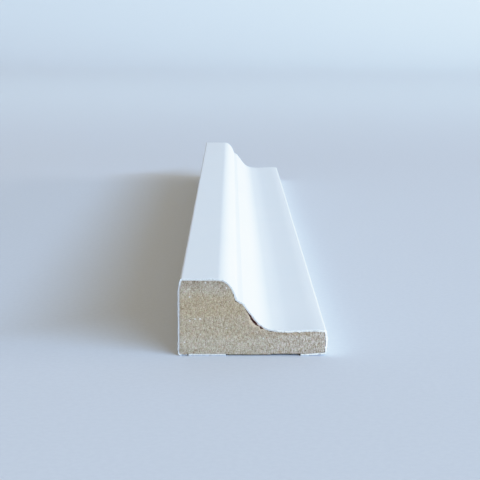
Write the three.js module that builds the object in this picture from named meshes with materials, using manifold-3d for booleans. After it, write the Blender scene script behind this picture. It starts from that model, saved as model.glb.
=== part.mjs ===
// A length of wall panel moulding: a profiled MDF core wrapped in white foil, lying on its back.
// Millimetres, +Z up. The length runs along Y, the thick edge is at -X and the thin lip at +X.
// The origin is the middle of the back, which rests on Z = 0.
import * as THREE from "three";
import { mergeVertices } from "three/addons/utils/BufferGeometryUtils.js";
import Module from "manifold-3d";

const wasm = await Module();
wasm.setup();

// Overall sizes
const LENGTH = 300;
const WIDTH = 30;
const HEIGHT = 15.6;

// Foil wrap
const FOIL_THICKNESS = 0.35;
const GLUE_LINE = 0.05;
const THICK_SIDE_RETURN = 9.6;
const LIP_SIDE_RETURN = 5.4;

// Thick edge
const BACK_ARRIS_RADIUS = 0.45;
const FACE_BEVEL_WIDTH = 0.45;
const FACE_BEVEL_HEIGHT = 2.3;
const FACE_BEVEL_RADIUS = 6;
const FACE_ARRIS_RADIUS = 0.45;

// Ovolo: the flat face ends in a round that steepens down its hip to a small step
const FLAT_FACE_WIDTH = 9.57;
const OVOLO_RADIUS = 3.4;
const OVOLO_HIP_X = 11.28;
const OVOLO_HIP_Z = 13.14;
const OVOLO_HIP_RADIUS = 4;
const STEP_FOOT_X = 11.86;
const STEP_FOOT_Z = 11.36;
const STEP_FOOT_RADIUS = 0.5;
const STEP_NOSE_X = 13.05;
const STEP_NOSE_Z = 10.74;
const STEP_NOSE_RADIUS = 0.8;
const STEP_UNDERCUT = 0.1;

// Cove and thin lip, whose face is slightly hollow beside the cove and eased over at the edge
const COVE_FOOT_X = 16.96;
const COVE_FOOT_Z = 5.51;
const COVE_RADIUS = 5.05;
const LIP_HOLLOW_X = 21.2;
const LIP_HOLLOW_Z = 5.03;
const LIP_HOLLOW_RADIUS = 19;
const LIP_CROWN_X = 27.9;
const LIP_CROWN_Z = 5.33;
const LIP_CROWN_RADIUS = 17;
const LIP_THICKNESS = 5.15;
const LIP_INSET = 0.25;
const LIP_ARRIS_RADIUS = 0.45;
const LIP_BELLY_OVERSHOOT = 0.076;
const LIP_BELLY_Z = 2.9;
const LIP_BELLY_RADIUS = 9;
const LIP_FOOT_Z = 0.28;
const LIP_FOOT_RADIUS = 0.5;
const LIP_HEEL_WIDTH = 4.2;
const LIP_HEEL_RADIUS = 6;

// Bare strip of the back, between the foil's two returns
const STRIP_CLEARANCE = 0.2;

// Hollow broken out of the core behind the foil of the cove, at the front end
const CHIP_X = 16.66;
const CHIP_Z = 8.24;
const CHIP_TILT = THREE.MathUtils.degToRad(45);
const CHIP_HALF_SPAN = 4.25;
const CHIP_HALF_DEPTH = 2.25;
const CHIP_REACH = 14;

// Smoothness of the faceted rounds
const ARC_DIVISIONS = 5;
const CHIP_SEGMENTS = 32;
const CHIP_RINGS = 20;
const WELD = 1e-4;

const THICK_EDGE = -WIDTH / 2;
const LIP_EDGE = WIDTH / 2;

// Which corner of the face's outline is the step's foot, counted from 0
const STEP_FOOT_CORNER = 6;

// A corner of an outline is where two straight runs would meet, with the radius that joins them.
// X is measured from the thick edge.
function corner(x, z, radius = 0) {
  return { at: new THREE.Vector2(THICK_EDGE + x, z), radius };
}

// The outside of the foil, from the end of one return round the show face to the end of the other.
function foilFace() {
  const lipX = WIDTH - LIP_INSET;
  return [
    corner(THICK_SIDE_RETURN, 0),
    corner(0, 0, BACK_ARRIS_RADIUS),
    corner(0, HEIGHT - FACE_BEVEL_HEIGHT, FACE_BEVEL_RADIUS),
    corner(FACE_BEVEL_WIDTH, HEIGHT, FACE_ARRIS_RADIUS),
    corner(FLAT_FACE_WIDTH, HEIGHT, OVOLO_RADIUS),
    corner(OVOLO_HIP_X, OVOLO_HIP_Z, OVOLO_HIP_RADIUS),
    corner(STEP_FOOT_X, STEP_FOOT_Z, STEP_FOOT_RADIUS),
    corner(STEP_NOSE_X, STEP_NOSE_Z, STEP_NOSE_RADIUS),
    corner(COVE_FOOT_X, COVE_FOOT_Z, COVE_RADIUS),
    corner(LIP_HOLLOW_X, LIP_HOLLOW_Z, LIP_HOLLOW_RADIUS),
    corner(LIP_CROWN_X, LIP_CROWN_Z, LIP_CROWN_RADIUS),
    corner(lipX, LIP_THICKNESS, LIP_ARRIS_RADIUS),
    corner(WIDTH + LIP_BELLY_OVERSHOOT, LIP_BELLY_Z, LIP_BELLY_RADIUS),
    corner(lipX, LIP_FOOT_Z, LIP_FOOT_RADIUS),
    corner(WIDTH - LIP_HEEL_WIDTH, 0, LIP_HEEL_RADIUS),
    corner(WIDTH - LIP_SIDE_RETURN, 0),
  ];
}

// The same outline moved inwards, with each round kept concentric.
function inset(corners, distance) {
  const runs = corners.slice(1).map((next, i) => {
    const from = corners[i].at;
    const along = next.at.clone().sub(from).normalize();
    const inward = new THREE.Vector2(along.y, -along.x);
    return { along, inward, start: from.clone().addScaledVector(inward, distance) };
  });
  return corners.map((c, i) => {
    const before = runs[i - 1];
    const after = runs[i];
    if (!before || !after) {
      const only = before ?? after;
      return { at: c.at.clone().addScaledVector(only.inward, distance), radius: 0 };
    }
    const turn = before.along.cross(after.along);
    const gap = after.start.clone().sub(before.start);
    const travel = gap.cross(after.along) / turn;
    const at = before.start.clone().addScaledVector(before.along, travel);
    return { at, radius: Math.max(0, c.radius + Math.sign(turn) * distance) };
  });
}

// The points of an outline, with an arc at each rounded corner.
function trace(corners) {
  const path = new THREE.Path();
  corners.forEach((c, i) => {
    const previous = corners[i - 1];
    const next = corners[i + 1];
    if (!previous) {
      path.moveTo(c.at.x, c.at.y);
      return;
    }
    if (!next || c.radius === 0) {
      path.lineTo(c.at.x, c.at.y);
      return;
    }
    const arriving = c.at.clone().sub(previous.at).normalize();
    const leaving = next.at.clone().sub(c.at).normalize();
    const turn = Math.atan2(arriving.cross(leaving), arriving.dot(leaving));
    const side = Math.sign(turn);
    const tangent = c.radius * Math.tan(Math.abs(turn) / 2);
    const centre = c.at.clone().addScaledVector(arriving, -tangent);
    centre.x -= side * arriving.y * c.radius;
    centre.y += side * arriving.x * c.radius;
    const start = Math.atan2(arriving.y, arriving.x) - (side * Math.PI) / 2;
    path.lineTo(centre.x + c.radius * Math.cos(start), centre.y + c.radius * Math.sin(start));
    path.absarc(centre.x, centre.y, c.radius, start, start + turn, side < 0);
  });
  return path.getPoints(ARC_DIVISIONS);
}

// A section in X and Z, run along the whole length.
function runOn(section) {
  const geometry = new THREE.ExtrudeGeometry(new THREE.Shape(section), {
    depth: LENGTH,
    bevelEnabled: false,
    steps: 1,
  });
  return geometry.rotateX(Math.PI / 2).translate(0, LENGTH / 2, 0);
}

function solidFrom(geometry) {
  const bare = geometry.clone();
  bare.deleteAttribute("normal");
  bare.deleteAttribute("uv");
  const welded = mergeVertices(bare, WELD);
  return new wasm.Manifold(
    new wasm.Mesh({
      numProp: 3,
      vertProperties: welded.attributes.position.array,
      triVerts: new Uint32Array(welded.index.array),
    }),
  );
}

function geometryFrom(solid) {
  const mesh = solid.getMesh();
  const geometry = new THREE.BufferGeometry();
  geometry.setAttribute("position", new THREE.BufferAttribute(mesh.vertProperties, 3));
  geometry.setIndex(new THREE.BufferAttribute(mesh.triVerts, 1));
  return geometry.toNonIndexed();
}

function foilWrap() {
  const face = foilFace();
  const outside = trace(face);
  const inside = trace(inset(face, FOIL_THICKNESS)).reverse();
  return runOn([...outside, ...inside]);
}

// The core fills the foil up to the glue line. Its step is cut sharper than the foil can follow.
function coreSection() {
  const seat = inset(foilFace(), FOIL_THICKNESS + GLUE_LINE);
  const stepFoot = seat[STEP_FOOT_CORNER];
  stepFoot.at.x -= STEP_UNDERCUT;
  stepFoot.radius = 0;
  const stripStart = THICK_EDGE + THICK_SIDE_RETURN + STRIP_CLEARANCE;
  const stripEnd = LIP_EDGE - LIP_SIDE_RETURN - STRIP_CLEARANCE;
  const seatZ = FOIL_THICKNESS + GLUE_LINE;
  return [
    new THREE.Vector2(stripStart, FOIL_THICKNESS),
    new THREE.Vector2(stripStart, seatZ),
    ...trace(seat),
    new THREE.Vector2(stripEnd, seatZ),
    new THREE.Vector2(stripEnd, FOIL_THICKNESS),
  ];
}

function chip() {
  return new THREE.SphereGeometry(1, CHIP_SEGMENTS, CHIP_RINGS)
    .scale(CHIP_HALF_SPAN, CHIP_REACH, CHIP_HALF_DEPTH)
    .rotateY(CHIP_TILT)
    .translate(THICK_EDGE + CHIP_X, -LENGTH / 2, CHIP_Z);
}

function mdfCore() {
  const whole = solidFrom(runOn(coreSection()));
  return geometryFrom(whole.subtract(solidFrom(chip())));
}

function piece(name, geometry, color, roughness) {
  const material = new THREE.MeshStandardMaterial({ color, roughness, metalness: 0 });
  const mesh = new THREE.Mesh(geometry, material);
  mesh.name = name;
  return mesh;
}

const moulding = new THREE.Group();
moulding.add(piece("mdf_core", mdfCore(), "#b5a88f", 0.95));
moulding.add(piece("foil_wrap", foilWrap(), "#eef1f3", 0.42));

export default moulding;
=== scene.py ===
"""A length of wall panel moulding: a sawn MDF core wrapped in white foil, lying on its back."""

import math
import random

import bpy
import numpy as np
from mathutils import Matrix, Vector, geometry, noise


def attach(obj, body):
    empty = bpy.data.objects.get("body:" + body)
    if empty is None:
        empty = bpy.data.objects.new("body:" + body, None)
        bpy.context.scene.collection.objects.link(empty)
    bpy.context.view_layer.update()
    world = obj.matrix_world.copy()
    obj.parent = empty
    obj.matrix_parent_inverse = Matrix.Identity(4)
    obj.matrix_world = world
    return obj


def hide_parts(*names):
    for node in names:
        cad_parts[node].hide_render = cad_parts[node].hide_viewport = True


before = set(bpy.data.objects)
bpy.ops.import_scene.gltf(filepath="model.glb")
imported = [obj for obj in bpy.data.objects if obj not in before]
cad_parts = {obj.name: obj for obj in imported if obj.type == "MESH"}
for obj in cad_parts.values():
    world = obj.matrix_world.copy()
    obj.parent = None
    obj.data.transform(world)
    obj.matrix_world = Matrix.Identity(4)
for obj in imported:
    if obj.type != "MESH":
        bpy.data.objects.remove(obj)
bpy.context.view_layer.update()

MM = 0.001

# Sizes of the section, in millimetres: X is measured from the thick edge, Z from the back.
LENGTH = 300.0
WIDTH = 30.0
HEIGHT = 15.6
FOIL_THICKNESS = 0.35
GLUE_LINE = 0.02
THICK_SIDE_RETURN = 9.6
LIP_SIDE_RETURN = 5.4
BACK_ARRIS_RADIUS = 0.45
FACE_BEVEL_WIDTH = 0.45
FACE_BEVEL_HEIGHT = 2.3
FACE_BEVEL_RADIUS = 6.0
FACE_ARRIS_RADIUS = 0.45
FLAT_FACE_WIDTH = 9.57
OVOLO_RADIUS = 3.4
OVOLO_HIP = (11.28, 13.14)
OVOLO_HIP_RADIUS = 4.0
STEP_FOOT = (11.86, 11.36)
STEP_FOOT_RADIUS = 0.5
STEP_NOSE = (13.05, 10.74)
STEP_NOSE_RADIUS = 0.8
STEP_UNDERCUT = 0.05
COVE_FOOT = (16.96, 5.51)
COVE_RADIUS = 5.05
LIP_HOLLOW = (21.2, 5.03)
LIP_HOLLOW_RADIUS = 19.0
LIP_CROWN = (27.9, 5.33)
LIP_CROWN_RADIUS = 17.0
LIP_THICKNESS = 5.15
LIP_INSET = 0.25
LIP_ARRIS_RADIUS = 0.45
LIP_BELLY = (30.076, 2.9)
LIP_BELLY_RADIUS = 9.0
LIP_FOOT_Z = 0.28
LIP_FOOT_RADIUS = 0.5
LIP_HEEL_WIDTH = 4.2
LIP_HEEL_RADIUS = 6.0

# The bare strip of the back, between the two returns of the foil. It is thinner towards the lip.
STRIP_Z = 0.22
STRIP_THIN_Z = 0.37
STRIP_THIN_FROM = 18.8
STRIP_CLEARANCE = 0.2

# The hollow broken out behind the foil of the cove, at the front end. Places are measured along
# its tilted line from its middle, positive towards the lip.
HOLLOW_MIDDLE = Vector((15.55 - WIDTH / 2, 7.1))
HOLLOW_TILT = math.radians(45)
HOLLOW_REACH = 2.6
HOLLOW_HALF_BAND = 2.0
HOLLOW_BROKEN_DEPTH = 0.1

# The split that runs through it, and the swells of its depth: depth, place and half width.
SPLIT_DEPTH = 0.13
SPLIT_START = -3.2
SPLIT_END = 2.2
SPLIT_STEEPNESS = 9
HOLLOW_SWELLS = (
    (0.46, -0.3, 1.5),
    (-0.14, 1.3, 0.2),
    (0.24, 1.8, 0.32),
    (0.27, 3.5, 0.3),
    (0.13, -6.6, 0.8),
    (0.12, -5.75, 0.25),
)

# The pale raw edge beside it, and a small chip further up, at the step.
PALE_START = -3.9
PALE_END = 2.4
PALE_STEEPNESS = 6
PALE_REACH = 0.24
STEP_CHIP_PLACE = -6.2
STEP_CHIP_HALF_WIDTH = 0.6

# What the saw left on the foil's cut rims: a nick in the foot that the board bulges into,
# a burr on the flat face, specks and laps all round, and a lip that is eased back at its edge.
NICK_X = 1.32
NICK_BULGE = 0.2
NICK_BULGE_HALF_WIDTH = 0.5
TOP_BURR_X = 6.2
TOP_BURR_SPREAD = 1.1
BURR_ZONE = 0.25
BURR_LOWEST_Z = 1.0
SPECK_HEIGHT = 0.35
LAP_WIDTH = 0.16
LIP_EASE = 0.2
LIP_EASE_FROM = 28.6
LIP_EASE_WIDTH = 0.8

# A fine gap between the core and the foil of the lip's edge, which closes behind the front end.
LIP_GAP = 0.05
LIP_GAP_FROM = 28.5
LIP_GAP_TOP_Z = 4.6
LIP_GAP_FADE = 6.0

# Relief of the sawn faces, below their planes.
RELIEF_MEAN = 0.05
BUNDLE_DEPTH = 0.028
FIBRE_DEPTH = 0.02
PIT_DEPTH = 0.2
SAW_LINE_DEPTH = 0.008
SAW_LINE_PITCH = math.tau / 7.5
SAW_LINE_SLANT = 0.22

# How far apart the points of the meshes are.
FOIL_SPACING = 0.15
CORE_SPACING = 0.22
STRIP_SPACING = 0.3
FRONT_FACE_SPACING = 0.17
FAR_FACE_SPACING = 0.28

# How far behind the front face each ring of the core is: close together at the hollow.
STATIONS = (0, 0.08, 0.2, 0.4, 0.7, 1.1, 1.6, 2.3, 3.2, 4.4, 6, 8, 10.5, 14, 20, 32, 60, 110,
            160, 210, 255, 282, 294, 298.5, 299.6, 300)

FRONT = -LENGTH / 2
BACK = LENGTH / 2

# Seeds of the front and far sawn faces.
FRONT_FACE_SEED = 11
FAR_FACE_SEED = 23

# Which corner of the face's outline is the step's foot, counted from 0.
STEP_FOOT_CORNER = 6


# The section

def corner(x, z, radius=0.0):
    """Where two straight runs of an outline would meet, and the radius that joins them."""
    return Vector((x - WIDTH / 2, z)), radius


def foil_face():
    """The outside of the foil, from the end of one return round the show face to the other."""
    lip = WIDTH - LIP_INSET
    return [
        corner(THICK_SIDE_RETURN, 0),
        corner(0, 0, BACK_ARRIS_RADIUS),
        corner(0, HEIGHT - FACE_BEVEL_HEIGHT, FACE_BEVEL_RADIUS),
        corner(FACE_BEVEL_WIDTH, HEIGHT, FACE_ARRIS_RADIUS),
        corner(FLAT_FACE_WIDTH, HEIGHT, OVOLO_RADIUS),
        corner(*OVOLO_HIP, OVOLO_HIP_RADIUS),
        corner(*STEP_FOOT, STEP_FOOT_RADIUS),
        corner(*STEP_NOSE, STEP_NOSE_RADIUS),
        corner(*COVE_FOOT, COVE_RADIUS),
        corner(*LIP_HOLLOW, LIP_HOLLOW_RADIUS),
        corner(*LIP_CROWN, LIP_CROWN_RADIUS),
        corner(lip, LIP_THICKNESS, LIP_ARRIS_RADIUS),
        corner(*LIP_BELLY, LIP_BELLY_RADIUS),
        corner(lip, LIP_FOOT_Z, LIP_FOOT_RADIUS),
        corner(WIDTH - LIP_HEEL_WIDTH, 0, LIP_HEEL_RADIUS),
        corner(WIDTH - LIP_SIDE_RETURN, 0),
    ]


def inset(corners, distance):
    """The same outline moved inwards, with each round kept concentric."""
    runs = []
    for (a, _), (b, _) in zip(corners, corners[1:]):
        along = (b - a).normalized()
        inward = Vector((along.y, -along.x))
        runs.append((along, inward, a + inward * distance))
    moved = [(corners[0][0] + runs[0][1] * distance, 0.0)]
    for (_, radius), before, after in zip(corners[1:-1], runs, runs[1:]):
        turn = before[0].cross(after[0])
        travel = (after[2] - before[2]).cross(after[0]) / turn
        radius = max(0.0, radius + math.copysign(distance, turn))
        moved.append((before[2] + before[0] * travel, radius))
    moved.append((corners[-1][0] + runs[-1][1] * distance, 0.0))
    return moved


def divide(points, spacing):
    """The polyline with points no further apart than spacing."""
    closer = [points[0]]
    for a, b in zip(points, points[1:]):
        steps = max(1, math.ceil((b - a).length / spacing))
        closer += [a.lerp(b, i / steps) for i in range(1, steps + 1)]
    return closer


def trace(corners, spacing, fewest_steps=5):
    """The points of an outline, with an arc at each rounded corner."""
    points = [corners[0][0]]
    for before, (at, radius), after in zip(corners, corners[1:], corners[2:]):
        arriving = (at - before[0]).normalized()
        leaving = (after[0] - at).normalized()
        turn = math.atan2(arriving.cross(leaving), arriving.dot(leaving))
        side = math.copysign(1.0, turn)
        start = at - arriving * (radius * math.tan(abs(turn) / 2))
        spoke = Vector((arriving.y, -arriving.x)) * (side * radius)
        steps = max(fewest_steps, math.ceil(abs(turn) * radius / spacing)) if radius else 0
        points.append(start)
        for i in range(1, steps + 1):
            points.append(start - spoke + Matrix.Rotation(turn * i / steps, 2) @ spoke)
    points.append(corners[-1][0])
    return divide(points, spacing)


def swell(value, middle, half_width):
    """A smooth rise to 1 at the middle, that dies away a half width or two to each side."""
    return math.exp(-((value - middle) / half_width) ** 2)


def rise(value, place, steepness):
    """A smooth step from 0 to 1 at a place, or from 1 to 0 if the steepness is negative."""
    return 1 / (1 + math.exp(-(value - place) * steepness))


def unevenness(x, z, scale, seed):
    """Smooth noise over the section, with a scale in grains per millimetre."""
    return noise.noise(Vector((x * scale, seed, z * scale)))


# Node helpers

class Wiring:
    """Adds nodes to a tree, with each input given as a value or as a socket to join."""

    def __init__(self, tree):
        self.tree = tree

    def give(self, socket, value):
        if isinstance(value, bpy.types.NodeSocket):
            self.tree.links.new(value, socket)
        else:
            socket.default_value = value

    def add(self, kind, inputs=None, **settings):
        node = self.tree.nodes.new(kind)
        for name, value in settings.items():
            setattr(node, name, value)
        for name, value in (inputs or {}).items():
            self.give(node.inputs[name], value)
        return node

    def math(self, operation, *values, clamp=False):
        inputs = dict(enumerate(values))
        return self.add("ShaderNodeMath", inputs, operation=operation, use_clamp=clamp).outputs[0]

    def times(self, product, *factors):
        for factor in factors:
            product = self.math("MULTIPLY", product, factor)
        return product

    def split(self, vector):
        return self.add("ShaderNodeSeparateXYZ", {0: vector}).outputs

    def join(self, x, y, z):
        return self.add("ShaderNodeCombineXYZ", {0: x, 1: y, 2: z}).outputs[0]

    def apart(self, a, b):
        return self.add("ShaderNodeVectorMath", {0: a, 1: b}, operation="DISTANCE").outputs["Value"]

    def stretch(self, vector, scale):
        return self.add("ShaderNodeMapping", {"Vector": vector, "Scale": scale}).outputs[0]

    def ease(self, value, low, high, start=0.0, end=1.0):
        inputs = {"Value": value, "From Min": low, "From Max": high, "To Min": start, "To Max": end}
        return self.add("ShaderNodeMapRange", inputs, interpolation_type="SMOOTHSTEP").outputs[0]

    def between(self, value, low, high, start=0.0, end=1.0):
        """Eases from start to end between two places, which are given in millimetres."""
        return self.ease(value, low * MM, high * MM, start, end)

    def grain(self, vector, scale, detail=2.0, roughness=0.5, distortion=0.0):
        """Noise from 0 to 1, with a scale in grains per metre."""
        inputs = {
            "Vector": vector,
            "Scale": scale,
            "Detail": detail,
            "Roughness": roughness,
            "Distortion": distortion,
        }
        return self.add("ShaderNodeTexNoise", inputs).outputs["Fac"]

    def centred(self, grain):
        return self.math("SUBTRACT", grain, 0.5)

    def mix(self, factor, a, b, blend="MIX"):
        node = self.add("ShaderNodeMix", data_type="RGBA", blend_type=blend)
        for name, value in (("Factor_Float", factor), ("A_Color", a), ("B_Color", b)):
            self.give(next(s for s in node.inputs if s.identifier == name), value)
        return next(s for s in node.outputs if s.identifier == "Result_Color")

    def mark(self, name):
        """The value of a mesh's own attribute, in a material."""
        return self.add("ShaderNodeAttribute", attribute_name=name).outputs["Fac"]

    def chance(self, low, high, seed):
        """A random number for each point, in a Geometry Nodes tree."""
        inputs = {2: low, 3: high, "Seed": seed}
        return self.add("FunctionNodeRandomValue", inputs, data_type="FLOAT").outputs[1]

    def shift(self, points, how, vector):
        """Moves points: to a Position, or by an Offset."""
        return self.add("GeometryNodeSetPosition", {"Geometry": points, how: vector}).outputs[0]


def grow_tree(name, inputs):
    """An empty Geometry Nodes tree with the named inputs, and the wiring to fill it."""
    tree = bpy.data.node_groups.new(name, "GeometryNodeTree")
    tree.interface.new_socket(name="Geometry", in_out="INPUT", socket_type="NodeSocketGeometry")
    tree.interface.new_socket(name="Geometry", in_out="OUTPUT", socket_type="NodeSocketGeometry")
    for label, kind in inputs:
        tree.interface.new_socket(name=label, in_out="INPUT", socket_type="NodeSocket" + kind)
    wiring = Wiring(tree)
    return tree, wiring, wiring.add("NodeGroupInput").outputs


def close_tree(wiring, geometry_socket, material_socket):
    """Ends a tree: instances made real, then the material."""
    real = wiring.add("GeometryNodeRealizeInstances", {"Geometry": geometry_socket}).outputs[0]
    done = wiring.add("GeometryNodeSetMaterial", {"Geometry": real, "Material": material_socket})
    wiring.add("NodeGroupOutput", {0: done.outputs[0]})


def grown(mesh, tree, values):
    """The mesh that a tree makes from a starting mesh, as a plain mesh."""
    host = bpy.data.objects.new(tree.name, mesh)
    bpy.context.scene.collection.objects.link(host)
    modifier = host.modifiers.new(tree.name, "NODES")
    modifier.node_group = tree
    for item in tree.interface.items_tree:
        if item.in_out == "INPUT" and item.name in values:
            modifier[item.identifier] = values[item.name]
    return settled(host)


def settled(host):
    """The evaluated mesh of an object, which is then removed with its modifiers."""
    graph = bpy.context.evaluated_depsgraph_get()
    mesh = bpy.data.meshes.new_from_object(host.evaluated_get(graph), depsgraph=graph)
    bpy.data.objects.remove(host)
    return mesh


def keep_mark(mesh, name, values):
    """Stores a number for each point of a mesh, for its finish or its fibres to read."""
    mesh.attributes.new(name, "FLOAT", "POINT").data.foreach_set("value", values)


def piece(name, mesh, node):
    """Puts a finished mesh in the scene in place of a CAD node."""
    made = bpy.data.objects.new(name, mesh)
    bpy.context.scene.collection.objects.link(made)
    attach(made, "root")
    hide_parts(node)
    return made


# Finishes

# Colours of the board, from its body to the broken edge and the inside of the hollow.
BOARD_GREY = (0.445, 0.349, 0.239, 1)
LIP_GREY = (0.449, 0.354, 0.2565, 1)
HEART_YELLOW = (0.418, 0.3055, 0.1836, 1)
COVE_TAN = (0.410, 0.306, 0.200, 1)
PATCH_BROWN = (0.414, 0.272, 0.158, 1)
SKIN_BROWN = (0.424, 0.308, 0.207, 1)
WHITE_SPECK = (0.74, 0.66, 0.56, 1)
BROWN_SPECK = (0.22, 0.14, 0.08, 1)
PALE_FIBRE = (0.50, 0.43, 0.34, 1)
DULL_FIBRE = (0.24, 0.18, 0.12, 1)
BROKEN_EDGE = (0.655, 0.486, 0.308, 1)
HOLLOW_BROWN = (0.34, 0.15, 0.115, 1)

# How strongly the grain shows in red, green and blue, so that a dark grain is a browner one.
GRAIN_GAINS = (0.86, 0.97, 1.18)

# Colours of the foil: its face, then its sawn rim and its glued side.
FOIL_WHITE = (0.792, 0.802, 0.812, 1)
FOIL_PALER = (0.811, 0.818, 0.826, 1)
SAW_DUST = (0.56, 0.52, 0.46, 1)
RIM_DULL = (0.40, 0.355, 0.30, 1)
# The clean rim colour also paints the highlight at the lip's outer edge.
RIM_CLEAN_AND_HIGHLIGHT = (0.90, 0.85, 0.75, 1)
# This colour paints dirt specks on the rim and contact shade along its foot.
RIM_DIRT_AND_SHADE = (0.36, 0.31, 0.25, 1)
GLUE_BROWN = (0.30, 0.20, 0.14, 1)
GLUE_PALE = (0.46, 0.36, 0.27, 1)
GLUE_LOOSE = (0.42, 0.22, 0.17, 1)

PAPER_SHADE = (0.660, 0.677, 0.705, 1)
PAPER_LIGHT = (0.680, 0.697, 0.725, 1)


def finish_tree(name):
    """A material with its shader, the wiring to fill it, and Object coordinates."""
    material = bpy.data.materials.new(name)
    material.use_nodes = True
    wiring = Wiring(material.node_tree)
    place = wiring.add("ShaderNodeTexCoord").outputs["Object"]
    return material, wiring, material.node_tree.nodes["Principled BSDF"], place


def set_finish(wiring, shader, colour, roughness, gloss):
    wiring.give(shader.inputs["Base Color"], colour)
    wiring.give(shader.inputs["Roughness"], roughness)
    shader.inputs["Specular IOR Level"].default_value = gloss


def set_relief(wiring, shader, height, strength, depth):
    """Fine relief in the shader, with its depth in millimetres."""
    inputs = {"Height": height, "Strength": strength, "Distance": depth * MM}
    bump = wiring.add("ShaderNodeBump", inputs).outputs[0]
    wiring.give(shader.inputs["Normal"], bump)


def sawn_mdf():
    """Raw fibreboard: fine fibres in a grey body, a yellower heart, a paler lip and a broken edge."""
    material, w, shader, place = finish_tree("sawn_mdf")
    x, y, z = w.split(place)

    # Grains of all sizes, and fibres that stand upright or lie level.
    cloud = w.grain(place, 260.0, 3.0, 0.6)
    patch = w.grain(place, 1000.0, 2.0, 0.6)
    fine = w.grain(place, 6500.0, 1.0, 0.6)
    upright = w.grain(w.stretch(place, (6200, 3000, 1500)), 1.0, 1.0, 0.5, 0.4)
    level = w.grain(w.stretch(place, (1300, 3000, 6000)), 1.0, 1.0, 0.5, 0.3)

    # The body: grey, yellower in the heart, tan under the cove, with brown patches.
    wander = 3.0 * MM
    height = w.math("MULTIPLY_ADD", cloud, wander, w.math("SUBTRACT", z, wander / 2))
    lip = w.between(x, -4.0, 10.0)
    low = w.times(w.between(height, 2.6, 4.6, 0.0, 0.5), w.math("SUBTRACT", 1.0, lip))
    heart = w.math("MAXIMUM", w.between(height, 6.2, 8.8), low)
    heart = w.times(heart, w.between(height, 14.0, 11.0))
    body = w.mix(lip, BOARD_GREY, LIP_GREY)
    body = w.mix(heart, body, HEART_YELLOW)
    tan = w.times(w.between(z, 3.6, 4.6), w.between(x, -2.5, -0.5), w.between(x, 14.0, 10.0))
    body = w.mix(tan, body, COVE_TAN)
    patchy = w.times(w.ease(patch, 0.55, 0.75), w.between(z, 11.5, 8.5, 0.3, 0.72))
    body = w.mix(patchy, body, PATCH_BROWN)

    # The pressed skin under the face; painted shade darkens the top, the foot and the thick edge.
    skin = w.between(z, 12.4, 15.2)
    body = w.mix(w.times(skin, w.ease(patch, 0.4, 0.6)), body, SKIN_BROWN)
    # Painted shade: the board darkened along its margins beside the foil.
    margin_shade = w.math("MULTIPLY_ADD", skin, 0.2, w.between(z, 1.6, 0.8, 0.0, 0.08))
    margin_shade = w.math("ADD", margin_shade, w.between(x, -14.25, -14.6, 0.02, 0.18))
    ground = w.math("SUBTRACT", 1.0, margin_shade)

    # The grain, stronger in the lip, and slightly different tints from place to place.
    tone = w.times(w.centred(fine), 1.75)
    tone = w.math("MULTIPLY_ADD", w.centred(upright), w.between(x, 2.0, 8.0, 1.1, 1.95), tone)
    tone = w.math("MULTIPLY_ADD", w.centred(level), 0.5, tone)
    tints = {"Vector": place, "Scale": 2100.0, "Detail": 2.0, "Roughness": 0.6}
    _, green, blue = w.split(w.add("ShaderNodeTexNoise", tints).outputs["Color"])
    blue = w.math("MULTIPLY_ADD", blue, 0.18, w.math("MULTIPLY_ADD", green, 0.12, 0.85))
    green = w.math("MULTIPLY_ADD", green, 0.32, 0.84)
    shades = [w.math("MULTIPLY_ADD", tone, gain, ground) for gain in GRAIN_GAINS]
    shade = w.join(shades[0], w.times(shades[1], green), w.times(shades[2], blue))
    body = w.mix(1.0, body, shade, "MULTIPLY")

    # Scattered white and brown specks, then the tones of the loose fibres.
    cells = w.add("ShaderNodeTexVoronoi", {"Vector": place, "Scale": 950.0}).outputs
    chance = w.split(cells["Color"])
    near = w.ease(cells["Distance"], 0.22, 0.11)
    white = w.times(w.math("GREATER_THAN", chance[0], 0.9), near, 0.66)
    body = w.mix(white, body, WHITE_SPECK)
    brown = w.times(w.math("GREATER_THAN", chance[1], 0.92), near, 0.2)
    body = w.mix(brown, body, BROWN_SPECK)
    fleck = w.mark("fleck")
    body = w.mix(w.ease(fleck, 0.6, 1.0, 0.0, 0.6), body, PALE_FIBRE)
    dull = w.times(w.math("GREATER_THAN", fleck, 0.01), w.ease(fleck, 0.4, 0.05, 0.0, 0.28))
    body = w.mix(dull, body, DULL_FIBRE)

    # The pale crumbled edge beside the hollow, and the brown inside it.
    broken = w.mark("broken")
    crumbs = w.ease(w.grain(place, 2600.0, 2.0, 0.6), 0.35, 0.6, 0.28, 0.88)
    body = w.mix(w.math("MULTIPLY", broken, crumbs, clamp=True), body, BROKEN_EDGE)
    inside = w.times(broken, w.between(y, FRONT + 0.15, FRONT + 0.7))
    body = w.mix(inside, body, HOLLOW_BROWN)

    set_finish(w, shader, body, w.ease(fine, 0.3, 0.7, 0.97, 0.84), 0.2)
    set_relief(w, shader, w.math("MULTIPLY_ADD", upright, 0.5, fine), 0.35, 0.06)
    return material


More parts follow.
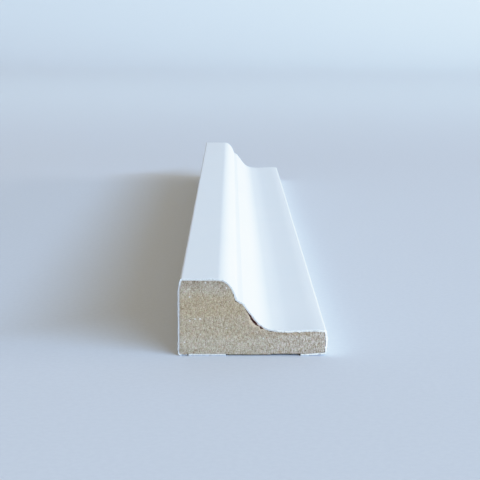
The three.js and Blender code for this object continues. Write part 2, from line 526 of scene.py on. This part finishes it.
def satin_foil():
    """White decorative foil: a soft sheen, a faint print of the board under it, dusty cut edges with
    painted highlight and shade.
    """
    material, w, shader, place = finish_tree("satin_foil")
    x, y, z = w.split(place)
    glue_side = w.mark("glue_side")

    board = w.grain(w.stretch(place, (260, 40, 260)), 1.0, 3.0, 0.55)
    skin = w.grain(place, 3200.0, 2.0, 0.5)
    cloud = w.grain(place, 60.0, 2.0, 0.5)
    white = w.mix(w.ease(cloud, 0.3, 0.7), FOIL_WHITE, FOIL_PALER)

    # Dust on the face, just behind the two cuts.
    reach = w.math("SUBTRACT", LENGTH / 2 * MM, w.math("ABSOLUTE", y))
    at_end = w.between(reach, 0.35, 0.02)
    speckle = w.ease(w.grain(place, 2600.0, 3.0, 0.65), 0.46, 0.72)
    dusty = w.ease(w.grain(place, 330.0, 1.0, 0.5), 0.42, 0.62, 0.2, 0.6)
    white = w.mix(w.times(at_end, speckle, dusty), white, SAW_DUST)

    # How light the sawn rim is: cleaner on the flat face and along the lip, painted highlight at its
    # edge.
    rim_clean_and_highlight = w.math("MAXIMUM", w.between(z, 13.8, 15.0, 0.0, 0.36), w.between(x, -9.0, -3.0, 0.0, 0.5))
    rim_clean_and_highlight = w.math("SUBTRACT", rim_clean_and_highlight, w.between(x, -2.0, 0.5, 0.0, 0.22))
    rim_clean_and_highlight = w.math("ADD", rim_clean_and_highlight, w.between(x, 4.0, 8.0, 0.0, 0.2))
    # Painted highlight: the rim lighter where the lip's outer edge catches the light.
    rim_clean_and_highlight = w.math("ADD", rim_clean_and_highlight, w.between(x, 13.6, 14.9, 0.0, 0.2))
    rim_clean_and_highlight = w.math("MAXIMUM", rim_clean_and_highlight, w.between(z, 0.7, 0.4, 0.0, 0.42))
    flakes = w.ease(w.grain(place, 1500.0, 1.0, 0.5), 0.38, 0.62, -0.08, 0.36)
    rim_clean_and_highlight = w.math("MULTIPLY_ADD", flakes, w.between(x, 2.0, 4.5), rim_clean_and_highlight)
    rim = w.mix(rim_clean_and_highlight, RIM_DULL, RIM_CLEAN_AND_HIGHLIGHT)
    # Dark specks on the rim: dirt all round, with painted contact shade making them heavier at the foot.
    rim_dirt_and_foot_shade = w.times(speckle, w.between(z, 0.6, 0.3, 0.25, 0.45))
    rim = w.mix(rim_dirt_and_foot_shade, rim, RIM_DIRT_AND_SHADE)
    white = w.mix(w.ease(glue_side, 0.03, 0.32), white, rim)

    # The glued side, redder where the foil has come loose over the hollow.
    loose = w.times(w.between(x, -2.0, -1.0), w.between(x, 2.8, 1.6))
    smear = w.ease(w.grain(place, 700.0, 3.0, 0.6), 0.3, 0.55)
    glued = w.mix(smear, GLUE_BROWN, GLUE_PALE)
    glued = w.mix(loose, glued, GLUE_LOOSE)
    seam = w.math("MINIMUM", w.math("MULTIPLY_ADD", rim_clean_and_highlight, 0.8, 0.42), 0.82)
    seam = w.math("SUBTRACT", seam, w.times(loose, 0.08))
    white = w.mix(w.ease(glue_side, seam, 1.0), white, glued)

    sheen = w.math("ADD", w.times(cloud, 0.6), w.times(skin, 0.4))
    set_finish(w, shader, white, w.ease(sheen, 0.3, 0.7, 0.36, 0.46), 0.45)
    set_relief(w, shader, w.math("MULTIPLY_ADD", skin, 0.08, board), 0.18, 0.08)
    return material


def pale_paper():
    """The plain sheet that the moulding lies on."""
    material, w, shader, place = finish_tree("pale_paper")
    tooth = w.grain(place, 900.0, 3.0, 0.6)
    tint = w.mix(w.ease(tooth, 0.3, 0.7), PAPER_SHADE, PAPER_LIGHT)
    set_finish(w, shader, tint, 0.75, 0.25)
    return material


# The foil

def wrap_tree():
    """Runs the open outline along the length and frays its two cut ends."""
    tree, w, given = grow_tree("foil_wrap_run", [
        ("Length", "Float"),
        ("Stations", "Int"),
        ("Fray depth", "Float"),
        ("Fray size", "Float"),
        ("Tear depth", "Float"),
        ("Tear place", "Vector"),
        ("Tear reach", "Float"),
        ("Nick depth", "Float"),
        ("Nick place", "Vector"),
        ("Nick reach", "Float"),
        ("Seed", "Float"),
        ("Foil", "Material"),
    ])

    # The stations crowd towards both ends, where the sheet is frayed.
    half = w.math("DIVIDE", given["Length"], 2.0)
    last = w.math("SUBTRACT", given["Stations"], 1.0)
    index = w.add("GeometryNodeInputIndex").outputs[0]
    way = w.math("SUBTRACT", w.math("DIVIDE", w.times(index, 2.0), last), 1.0)
    inner = w.math("POWER", w.math("SUBTRACT", 1.0, w.math("ABSOLUTE", way)), 3.0)
    station = w.times(w.math("SIGN", way), w.math("SUBTRACT", 1.0, inner), half)
    line = w.add("GeometryNodeMeshLine", {"Count": given["Stations"]}).outputs[0]
    line = w.shift(line, "Position", w.join(0.0, station, 0.0))
    path = w.add("GeometryNodeMeshToCurve", {"Mesh": line}).outputs[0]
    path = w.add("GeometryNodeSetCurveNormal", {"Curve": path}, mode="Z_UP").outputs[0]
    outline = w.add("GeometryNodeMeshToCurve", {"Mesh": given["Geometry"]}).outputs[0]
    sheet = w.add("GeometryNodeCurveToMesh", {"Curve": path, "Profile Curve": outline}).outputs[0]

    # Each end is drawn back by its fraying, and the front end by the tear and the nick too.
    x, y, z = w.split(w.add("GeometryNodeInputPosition").outputs[0])
    section = w.join(x, 0.0, z)
    end = w.math("SIGN", y)
    front = w.math("LESS_THAN", y, 0.0)
    ring = w.join(x, w.times(w.math("ADD", end, given["Seed"]), 0.01), z)
    finest = w.grain(ring, w.math("DIVIDE", 1.0, given["Fray size"]), 2.0, 0.6)
    fray = w.times(w.ease(finest, 0.42, 0.8), given["Fray depth"])
    from_tear = w.math("DIVIDE", w.apart(section, given["Tear place"]), given["Tear reach"])
    coarse = w.grain(ring, w.math("DIVIDE", 0.55, given["Fray size"]), 2.0, 0.55)
    torn = w.times(w.ease(from_tear, 1.0, 0.35), w.ease(coarse, 0.4, 0.66))
    tear = w.times(torn, front, given["Tear depth"])
    from_nick = w.math("DIVIDE", w.apart(section, given["Nick place"]), given["Nick reach"])
    nick = w.times(w.ease(from_nick, 1.0, 0.75), front, given["Nick depth"])
    depth = w.math("ADD", w.math("ADD", fray, tear), nick)
    from_end = w.math("SUBTRACT", half, w.math("ABSOLUTE", y))
    fade = w.ease(from_end, 0.0, w.times(depth, 5.0), 1.0, 0.0)
    pulled = w.times(end, -1.0, w.times(depth, fade))
    sheet = w.shift(sheet, "Offset", w.join(0.0, pulled, 0.0))
    sheet = w.add("GeometryNodeSetShadeSmooth", {"Geometry": sheet}).outputs[0]
    close_tree(w, sheet, given["Foil"])
    return tree


def saw_burr(mesh, outside):
    """Roughens the cut rims: specks on the face, laps over the board, and the lip's edge eased back."""
    for face, back in zip(mesh.vertices[:outside], mesh.vertices[outside:]):
        x, y, z = face.co / MM
        if LENGTH / 2 - abs(y) > BURR_ZONE or z < BURR_LOWEST_Z:
            continue
        outward = (face.co - back.co).normalized()
        seed = math.copysign(7.0, y)
        lap = unevenness(x, z, 2.2, seed) + 0.6 * unevenness(x, z, 5.1, seed)
        speck = unevenness(x, z, 3.7, seed + 20) - 0.2
        torn = swell(x, TOP_BURR_X - WIDTH / 2, TOP_BURR_SPREAD) * (y < 0)
        eased = min(1.0, max(0.0, (x + WIDTH / 2 - LIP_EASE_FROM) / LIP_EASE_WIDTH))
        face.co.y -= math.copysign(LIP_EASE * MM * eased, y)
        back.co -= outward * (LAP_WIDTH * MM * min(1.0, max(0.0, lap + 0.15)))
        lifted = min(0.4 + 0.4 * torn, max(0.0, speck + 0.5 * torn))
        face.co += outward * (SPECK_HEIGHT * MM * lifted)


def foil_wrap(material):
    """The foil: a sheet run along the length, then given its thickness inwards."""
    outline = trace(foil_face(), FOIL_SPACING)
    line = bpy.data.meshes.new("foil_outline")
    points = [(p.x * MM, -p.y * MM, 0.0) for p in outline]
    line.from_pydata(points, [(i, i + 1) for i in range(len(points) - 1)], [])
    sheet = grown(line, wrap_tree(), {
        "Length": LENGTH * MM,
        "Stations": 33,
        "Fray depth": 0.12 * MM,
        "Fray size": 0.5 * MM,
        "Tear depth": 0.3 * MM,
        "Tear place": (HOLLOW_MIDDLE.x * MM, 0.0, HOLLOW_MIDDLE.y * MM),
        "Tear reach": 3.4 * MM,
        "Nick depth": 0.5 * MM,
        "Nick place": ((NICK_X - WIDTH / 2) * MM, 0.0, 0.0),
        "Nick reach": 0.75 * MM,
        "Seed": 3.0,
        "Foil": material,
    })
    if sheet.polygons[0].normal.z > 0:
        sheet.flip_normals()
    outside = len(sheet.vertices)
    host = bpy.data.objects.new("foil_sheet", sheet)
    bpy.context.scene.collection.objects.link(host)
    wall = host.modifiers.new("wall", "SOLIDIFY")
    wall.thickness = FOIL_THICKNESS * MM
    wall.offset = -1.0
    wall.use_even_offset = True
    mesh = settled(host)
    saw_burr(mesh, outside)
    keep_mark(mesh, "glue_side", [float(i >= outside) for i in range(len(mesh.vertices))])
    mesh.set_sharp_from_angle(angle=math.radians(40))
    return piece("white_foil", mesh, "foil_wrap")


# The core

def along_hollow(point):
    """Where a point of the section lies along the hollow of the cove, and how far off its line."""
    offset = point - HOLLOW_MIDDLE
    along = offset.x * math.cos(HOLLOW_TILT) - offset.y * math.sin(HOLLOW_TILT)
    across = offset.x * math.sin(HOLLOW_TILT) + offset.y * math.cos(HOLLOW_TILT)
    return along, across


def hollow_depth(point, behind):
    """How far the core is broken away from the foil of the cove, in millimetres."""
    along, across = along_hollow(point)
    if abs(across) > HOLLOW_HALF_BAND or behind > HOLLOW_REACH:
        return 0.0
    opened = rise(along, SPLIT_START, SPLIT_STEEPNESS) * rise(along, SPLIT_END, -SPLIT_STEEPNESS)
    depth = SPLIT_DEPTH * opened
    for swell_depth, middle, half_width in HOLLOW_SWELLS:
        depth += swell_depth * swell(along, middle, half_width)
    ragged = 1 + 0.4 * noise.noise(Vector((along * 2.6, behind * 0.6, 4)))
    return depth * ragged * (1 - behind / HOLLOW_REACH)


def bareness(point):
    """How much of the raw edge shows pale beside the foil, and how far it reaches in, in millimetres."""
    along, across = along_hollow(point)
    if abs(across) > HOLLOW_HALF_BAND:
        return 0.0, PALE_REACH
    chipped = swell(along, STEP_CHIP_PLACE, STEP_CHIP_HALF_WIDTH)
    shown = rise(along, PALE_START, PALE_STEEPNESS) * rise(along, PALE_END, -PALE_STEEPNESS)
    reach = PALE_REACH + 0.5 * swell(along, 0.2, 1.2) + 0.3 * chipped
    return shown + 0.8 * chipped, reach


def shrink(point, behind):
    """How far the core stands back from its glue line at a point of its outline, in millimetres."""
    depth = hollow_depth(point, behind)
    from_thick_edge = point.x + WIDTH / 2
    at_foot = point.y < 0.5
    at_front = behind < 0.4
    if at_foot and at_front:
        depth -= NICK_BULGE * swell(from_thick_edge, NICK_X, NICK_BULGE_HALF_WIDTH)
    if from_thick_edge > LIP_GAP_FROM:
        below_top = min(1.0, max(0.0, LIP_GAP_TOP_Z - point.y))
        depth += LIP_GAP * math.exp(-behind / LIP_GAP_FADE) * below_top
    return depth


def core_outline():
    """The core's section as closed points: the glue line of the foil, then the bare strip."""
    seat = inset(foil_face(), FOIL_THICKNESS + GLUE_LINE)
    foot, _ = seat[STEP_FOOT_CORNER]
    seat[STEP_FOOT_CORNER] = (foot - Vector((STEP_UNDERCUT, 0)), 0.0)
    show = trace(seat, CORE_SPACING)
    strip_end = show[-1].x - STRIP_CLEARANCE
    strip_start = show[0].x + STRIP_CLEARANCE
    thin = STRIP_THIN_FROM - WIDTH / 2
    strip = [
        show[-1],
        Vector((strip_end, show[-1].y)),
        Vector((strip_end - 0.1, STRIP_THIN_Z)),
        Vector((thin, STRIP_THIN_Z)),
        Vector((thin - 0.2, STRIP_Z)),
        Vector((strip_start, STRIP_Z)),
        Vector((strip_start, show[0].y)),
        show[0],
    ]
    return show + divide(strip, STRIP_SPACING)[1:-1]


def inward_normals(points):
    """The inward direction at each point of a closed outline."""
    normals = []
    for i in range(len(points)):
        along = (points[(i + 1) % len(points)] - points[i - 1]).normalized()
        normals.append(Vector((along.y, -along.x)))
    return normals


def saw_relief(x, z, seed):
    """Depth of the sawn surface below its plane: fibre bundles, pulled-out pits and saw lines."""
    bundles = unevenness(x, z, 2.1, seed)
    fine = unevenness(x, z, 4.7, seed + 9)
    pit = max(0.0, unevenness(x, z, 1.3, seed + 31) - 0.28)
    along = (x + SAW_LINE_SLANT * z) / SAW_LINE_PITCH
    lines = math.sin(math.tau * along + 2 * unevenness(x, z, 0.3, seed))
    rough = BUNDLE_DEPTH * bundles + FIBRE_DEPTH * fine
    return RELIEF_MEAN + rough + PIT_DEPTH * pit + SAW_LINE_DEPTH * lines


def fill_outline(edge, spacing, seed):
    """Triangles over a closed outline, with evenly scattered points inside it."""
    chance = random.Random(seed)
    row_height = spacing * 0.87
    low, high = edge.min(0), edge.max(0)
    rows = int((high[1] - low[1]) / row_height)
    columns = int((high[0] - low[0]) / spacing)
    loose = np.array([
        (
            low[0] + (c + 0.5 * (r % 2) + chance.uniform(-0.25, 0.25)) * spacing,
            low[1] + (r + chance.uniform(-0.25, 0.25)) * row_height,
        )
        for r in range(rows + 1)
        for c in range(columns + 1)
    ])
    inside = np.zeros(len(loose), bool)
    clear = np.full(len(loose), np.inf)
    for a, b in zip(edge, np.roll(edge, -1, 0)):
        crosses = (a[1] > loose[:, 1]) != (b[1] > loose[:, 1])
        slope = (b[0] - a[0]) / (b[1] - a[1]) if b[1] != a[1] else 0.0
        inside ^= crosses & (loose[:, 0] < a[0] + (loose[:, 1] - a[1]) * slope)
        clear = np.minimum(clear, np.hypot(*(loose - a).T))
    loose = loose[inside & (clear > spacing * 0.6)]
    points = [Vector(p) for p in edge] + [Vector(p) for p in loose]
    around = [(i, (i + 1) % len(edge)) for i in range(len(edge))]
    _, _, faces, origin, _, _ = geometry.delaunay_2d_cdt(points, around, [], 1, 1e-6)
    keep = [o[0] for o in origin]
    return points[len(edge):], [[keep[i] for i in face] for face in faces]


def paleness(point, rim):
    """How pale a point of the front face is, from the broken edges of the rim near it."""
    gap = np.hypot(rim[:, 0] - point.x, rim[:, 1] - point.y)
    wander = 0.16 * unevenness(point.x, point.y, 2.3, 5)
    return float((rim[:, 2] * np.clip(1.25 - (gap + wander) / rim[:, 3], 0, 1)).max())


def core_mesh():
    """The core bar: rings along the length, with its two sawn faces closed by fine triangles."""
    base = core_outline()
    normals = inward_normals(base)
    count = len(base)
    points, faces, broken, inner, rings = [], [], [], [], []
    for behind in STATIONS:
        ring = [p + n * shrink(p, behind) for p, n in zip(base, normals)]
        rings.append(ring)
        points += [(p.x, FRONT + behind, p.y) for p in ring]
        inner += [0.0] * count
        for p in base:
            at_rim = bareness(p)[0] * (behind == 0)
            broken.append(max(at_rim, min(1.0, hollow_depth(p, behind) / HOLLOW_BROKEN_DEPTH)))
    for k in range(len(STATIONS) - 1):
        for i in range(count):
            j = (i + 1) % count
            faces.append((k * count + i, k * count + j, (k + 1) * count + j, (k + 1) * count + i))

    rim = np.array([(*q, *bareness(p)) for p, q in zip(base, rings[0]) if bareness(p)[0] > 0.05])
    last = (len(STATIONS) - 1) * count
    for ring, first, plane, spacing, seed in (
        (rings[0], 0, FRONT, FRONT_FACE_SPACING, FRONT_FACE_SEED),
        (rings[-1], last, BACK, FAR_FACE_SPACING, FAR_FACE_SEED),
    ):
        at_front = plane == FRONT
        edge = np.array([tuple(p) for p in ring])
        loose, triangles = fill_outline(edge, spacing, seed)
        start = len(points)
        points += [(p.x, plane, p.y) for p in loose]
        for p in loose:
            inner.append(float(np.hypot(*(edge - np.array(tuple(p))).T).min()))
            broken.append(paleness(p, rim) if at_front else 0.0)
        number = [*range(first, first + count), *range(start, start + len(loose))]
        for triangle in triangles:
            a, b, c = (number[i] for i in triangle)
            faces.append((a, b, c) if at_front else (a, c, b))
        inward = 1 if at_front else -1
        for i in number:
            x, y, z = points[i]
            points[i] = (x, y + inward * saw_relief(x, z, seed), z)

    mesh = bpy.data.meshes.new("mdf_bar")
    mesh.from_pydata([(x * MM, y * MM, z * MM) for x, y, z in points], [], faces)
    keep_mark(mesh, "broken", broken)
    keep_mark(mesh, "inner", inner)
    mesh.validate()
    mesh.shade_smooth()
    mesh.set_sharp_from_angle(angle=math.radians(50))
    return mesh


def fibre_tree():
    """Scatters short bent fibres over the sawn faces."""
    tree, w, given = grow_tree("sawn_fibres", [
        ("Density", "Float"),
        ("Shortest", "Float"),
        ("Longest", "Float"),
        ("Thickness", "Float"),
        ("Margin", "Float"),
        ("Seed", "Int"),
        ("Board", "Material"),
    ])
    inner = w.add("GeometryNodeInputNamedAttribute", {"Name": "inner"}, data_type="FLOAT").outputs[0]
    spread = w.add("GeometryNodeDistributePointsOnFaces", {
        "Mesh": given["Geometry"],
        "Selection": w.math("GREATER_THAN", inner, given["Margin"]),
        "Density": given["Density"],
        "Seed": given["Seed"],
    })

    # One fibre, a unit long: a shallow bow that is thinner at both ends.
    bow = w.add("GeometryNodeCurveQuadraticBezier", {
        "Resolution": 3,
        "Start": (-0.5, -0.04, -0.05),
        "Middle": (0.05, 0.1, 0.09),
        "End": (0.5, -0.03, -0.05),
    }).outputs[0]
    along = w.add("GeometryNodeSplineParameter").outputs["Factor"]
    taper = w.math("SINE", w.math("ADD", w.times(along, 2.5), 0.32))
    bow = w.add("GeometryNodeSetCurveRadius", {"Curve": bow, "Radius": taper}).outputs[0]
    girth = w.add("GeometryNodeCurvePrimitiveCircle", {
        "Resolution": 3,
        "Radius": given["Thickness"],
    }).outputs[0]
    strand = w.add("GeometryNodeCurveToMesh", {
        "Curve": bow,
        "Profile Curve": girth,
        "Scale": taper,
        "Fill Caps": True,
    }).outputs[0]

    # Each lies at its own turn on the face, with its own length and tone.
    twirl = w.chance(0.0, math.tau, given["Seed"])
    turn = w.add("FunctionNodeAxisAngleToRotation", {"Axis": (0, 0, 1), "Angle": twirl}).outputs[0]
    lie = w.add("FunctionNodeRotateRotation", {
        "Rotation": spread.outputs["Rotation"],
        "Rotate By": turn,
    }, rotation_space="LOCAL").outputs[0]
    length = w.chance(given["Shortest"], given["Longest"], w.math("ADD", given["Seed"], 1.0))
    strands = w.add("GeometryNodeInstanceOnPoints", {
        "Points": spread.outputs["Points"],
        "Instance": strand,
        "Rotation": lie,
        "Scale": w.join(length, length, length),
    }).outputs[0]
    strands = w.add("GeometryNodeStoreNamedAttribute", {
        "Geometry": strands,
        "Name": "fleck",
        "Value": w.chance(0.05, 1.0, w.math("ADD", given["Seed"], 2.0)),
    }, data_type="FLOAT", domain="INSTANCE").outputs[0]
    both = w.add("GeometryNodeJoinGeometry")
    w.tree.links.new(strands, both.inputs[0])
    w.tree.links.new(given["Geometry"], both.inputs[0])
    close_tree(w, both.outputs[0], given["Board"])
    return tree


def mdf_core(material):
    """The core: the sawn bar with loose fibres on its two ends."""
    mesh = grown(core_mesh(), fibre_tree(), {
        "Density": 6.0e6,
        "Shortest": 0.25 * MM,
        "Longest": 0.7 * MM,
        "Thickness": 0.07,
        "Margin": 0.3,
        "Seed": 7,
        "Board": material,
    })
    return piece("mdf_bar", mesh, "mdf_core")


# Setting

# The sheet under and behind the moulding, in metres. Its top is a hair below the back.
SHEET_HALF_WIDTH = 3.0
SHEET_FRONT = -9.0
SHEET_BACK = 2.2
SHEET_RISE = 2.0
SHEET_BEND = 0.8
SHEET_TOP = -0.1 * MM

ROOM_COLOUR = (0.430, 0.385, 0.295, 1)
GLOW_COLOUR = (0.56, 0.80, 1.0)

# The viewpoint, in metres and degrees, and its focal length in pixels of the picture.
VIEWPOINT = (-0.0046, -0.415, 0.0669)
VIEW_PITCH = math.radians(9.3)
VIEW_YAW = math.radians(0.42)
VIEW_ROLL = math.radians(0.17)
FOCAL_PIXELS = 1355.5
PICTURE_PIXELS = 480
SENSOR_WIDTH = 36.0

# How the brightest tones are shown: each brightness of the scene, and what it comes out as.
BRIGHTEST = 2.0
HIGHLIGHTS = (
    (0.72, 0.72),
    (0.80, 0.787),
    (0.88, 0.845),
    (0.96, 0.89),
    (1.06, 0.93),
    (1.2, 0.965),
    (1.4, 0.99),
)


def sheet_and_backdrop():
    """A pale sheet that runs back and sweeps up behind."""
    bend_start = SHEET_BACK - SHEET_BEND
    section = [(SHEET_FRONT, SHEET_TOP), (bend_start, SHEET_TOP)]
    for degrees in range(6, 91, 6):
        angle = math.radians(degrees)
        y = bend_start + SHEET_BEND * math.sin(angle)
        section.append((y, SHEET_TOP + SHEET_BEND - SHEET_BEND * math.cos(angle)))
    section.append((SHEET_BACK, SHEET_RISE))
    points = [(x, y, z) for y, z in section for x in (-SHEET_HALF_WIDTH, SHEET_HALF_WIDTH)]
    faces = [(2 * i, 2 * i + 1, 2 * i + 3, 2 * i + 2) for i in range(len(section) - 1)]
    mesh = bpy.data.meshes.new("pale_sheet")
    mesh.from_pydata(points, [], faces)
    mesh.materials.append(pale_paper())
    mesh.shade_smooth()
    sheet = bpy.data.objects.new("pale_sheet", mesh)
    bpy.context.scene.collection.objects.link(sheet)


def soft_box(name, position, target, size, power, colour):
    """A rectangular light that faces a target and isn't seen itself."""
    light = bpy.data.lights.new(name, "AREA")
    light.shape = "RECTANGLE"
    light.size, light.size_y = size
    light.energy = power
    light.color = colour
    lamp = bpy.data.objects.new(name, light)
    bpy.context.scene.collection.objects.link(lamp)
    lamp.visible_camera = False
    lamp.location = position
    lamp.rotation_euler = (Vector(target) - Vector(position)).to_track_quat("-Z", "Y").to_euler()


def lighting():
    """A wide low box to the right of the front end, one beside the lip, two glows behind, a warm room."""
    world = bpy.data.worlds.new("soft_room")
    world.use_nodes = True
    room = world.node_tree.nodes["Background"]
    room.inputs["Color"].default_value = ROOM_COLOUR
    room.inputs["Strength"].default_value = 1.0
    bpy.context.scene.world = world
    soft_box(
        "side_box", position=(2.89, -3.05, 1.54), target=(0, 0, 0),
        size=(4.5, 0.30), power=354.0, colour=(0.442, 0.664, 1.0),
    )
    soft_box(
        "lip_box", position=(4.2, 0, 0.665), target=(0, 0, 0),
        size=(2.4, 0.5), power=80.0, colour=(0.95, 0.95, 1.0),
    )
    soft_box(
        "sheet_box", position=(0, 0.65, 0.8), target=(0, 1.7, 0.25),
        size=(3.0, 0.8), power=5.0, colour=GLOW_COLOUR,
    )
    soft_box(
        "back_box", position=(0.8, 1.2, 0.7), target=(0.8, 2.2, 0.7),
        size=(1.6, 0.8), power=2.5, colour=GLOW_COLOUR,
    )


def photo_camera():
    """The viewpoint of the photograph: close to the front end, a little above the moulding."""
    across = Vector((math.cos(VIEW_YAW), -math.sin(VIEW_YAW), 0))
    ahead = Vector((
        math.sin(VIEW_YAW) * math.cos(VIEW_PITCH),
        math.cos(VIEW_YAW) * math.cos(VIEW_PITCH),
        -math.sin(VIEW_PITCH),
    ))
    above = across.cross(ahead)
    right = across * math.cos(VIEW_ROLL) + above * math.sin(VIEW_ROLL)
    up = above * math.cos(VIEW_ROLL) - across * math.sin(VIEW_ROLL)
    camera = bpy.data.cameras.new("photo_view")
    camera.sensor_width = SENSOR_WIDTH
    camera.lens = SENSOR_WIDTH * FOCAL_PIXELS / PICTURE_PIXELS
    camera.clip_start = 0.01
    viewer = bpy.data.objects.new("photo_view", camera)
    bpy.context.scene.collection.objects.link(viewer)
    viewer.matrix_world = Matrix((right, up, -ahead)).transposed().to_4x4()
    viewer.location = VIEWPOINT
    bpy.context.scene.camera = viewer


def soft_highlights():
    """A plain view, with a shoulder that keeps the white foil from clipping where it faces the light."""
    view = bpy.context.scene.view_settings
    view.view_transform = "Standard"
    view.use_curve_mapping = True
    shoulder = view.curve_mapping
    shoulder.white_level = (BRIGHTEST, BRIGHTEST, BRIGHTEST)
    all_channels = shoulder.curves[3]
    for bright, shown in HIGHLIGHTS:
        all_channels.points.new(bright / BRIGHTEST, shown)
    for point in all_channels.points:
        point.handle_type = "VECTOR"
    shoulder.update()


foil_wrap(satin_foil())
mdf_core(sawn_mdf())
sheet_and_backdrop()
lighting()
photo_camera()
soft_highlights()
